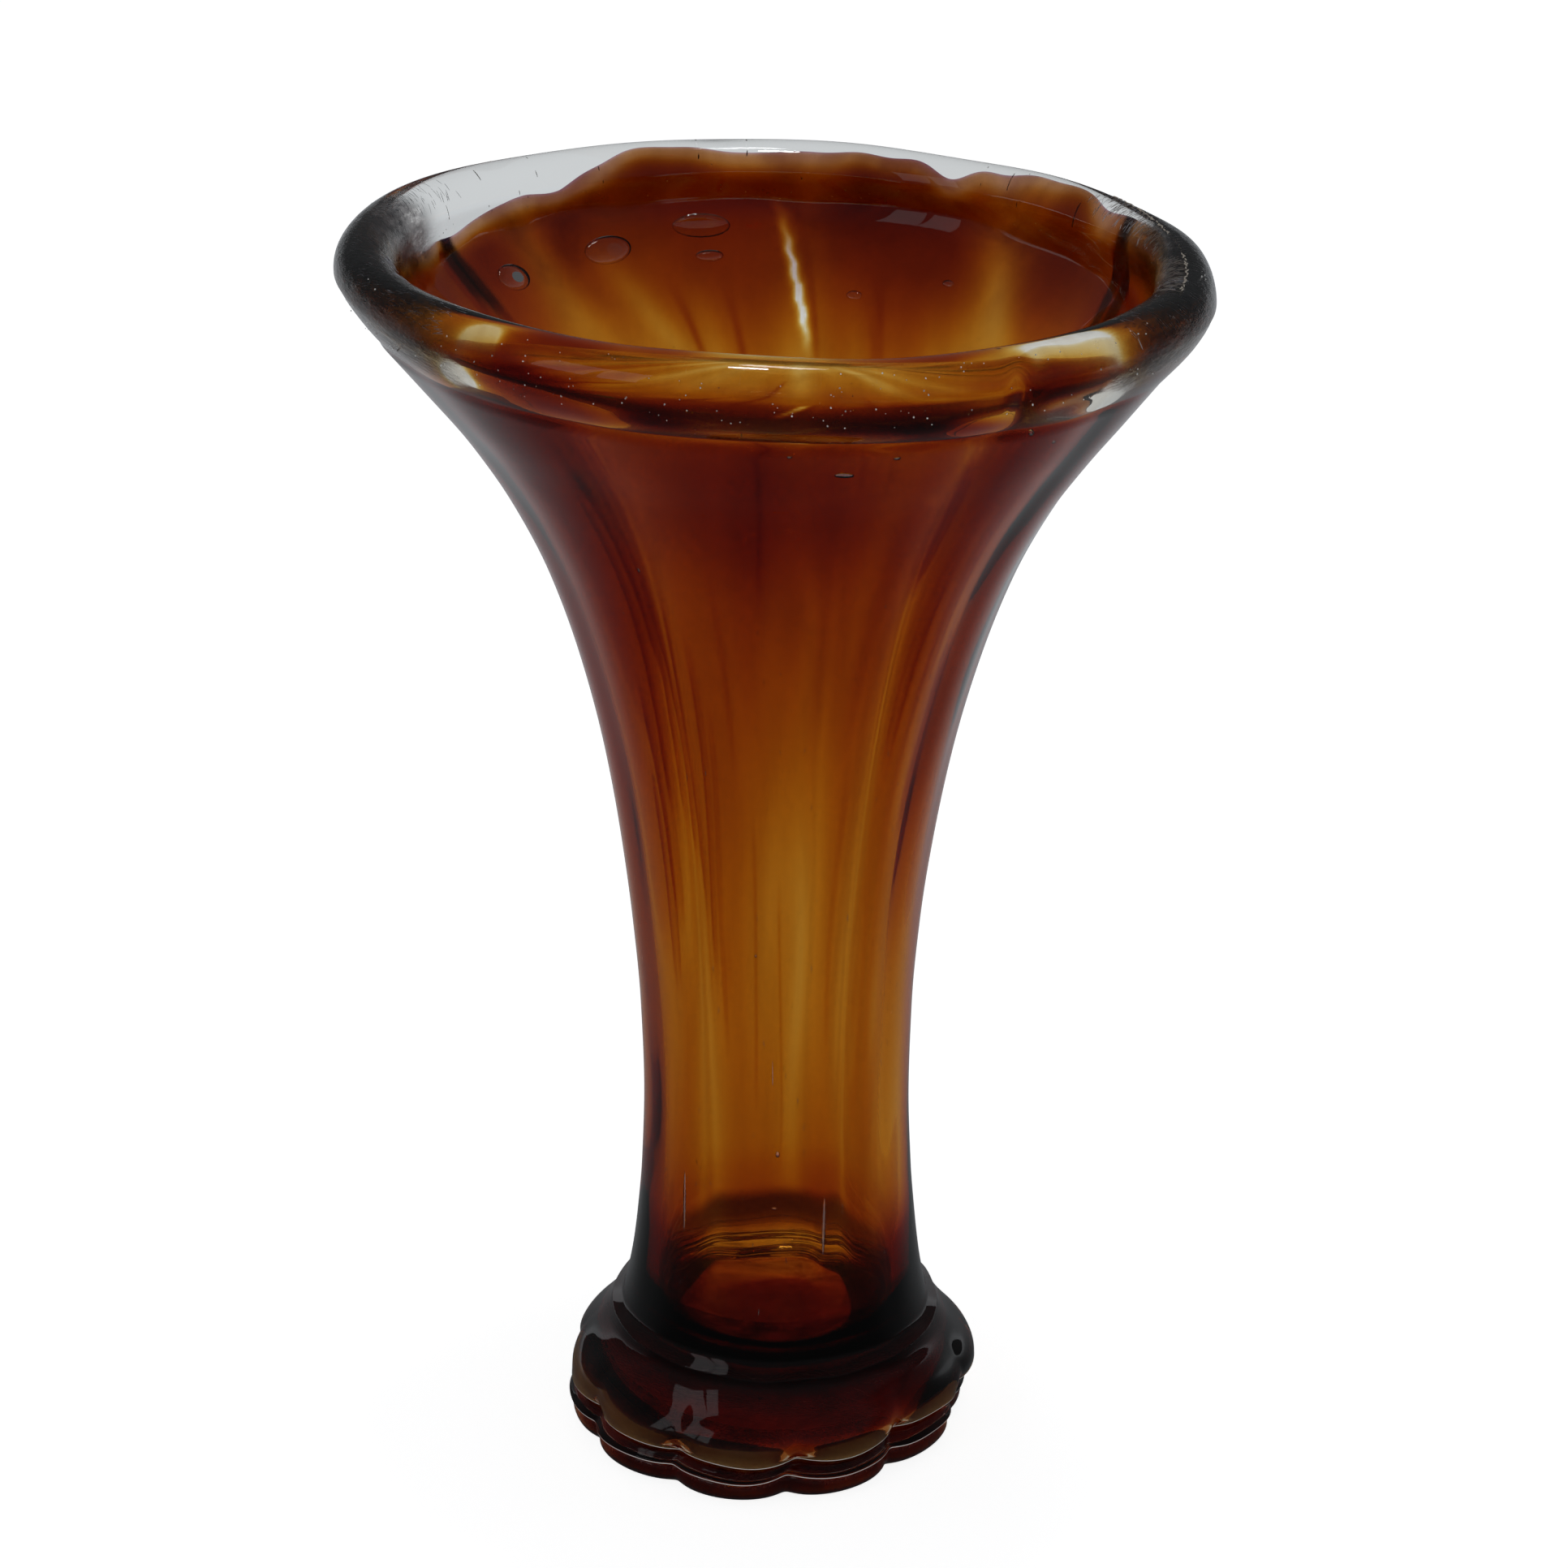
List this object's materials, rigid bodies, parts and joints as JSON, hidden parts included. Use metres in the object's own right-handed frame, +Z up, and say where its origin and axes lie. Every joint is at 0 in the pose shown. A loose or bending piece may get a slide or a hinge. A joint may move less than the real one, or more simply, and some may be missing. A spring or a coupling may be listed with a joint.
{
  "type": "vase",
  "caption": "Heavy blown-glass flower vase: a flared trumpet body on a slim waist, with a thick rounded lip, an amber layer cased in clear glass, and a scalloped stacked foot.",
  "frame": {"origin": "on the table, under the middle of the mouth, at the plane the foot stands on", "axes": "+Z up along the axis of the column towards the mouth; +X and +Y level, the vase being round about Z apart from the hand-tooled lobes of its foot"},
  "size_m": [0.1314, 0.1314, 0.2],
  "materials": {
    "clear_glass": "fire polished",
    "amber_glass": "fire polished",
    "foot_glass": "fire polished"
  },
  "bodies": {
    "root": {"inner_lining": "clear_glass", "amber_layer": "amber_glass", "outer_casing": "clear_glass", "rim_bead": "clear_glass", "foot_core": "amber_glass", "foot_flange": "foot_glass", "foot_ring": "foot_glass", "foot_disc": "foot_glass"}
  },
  "joints": []
}
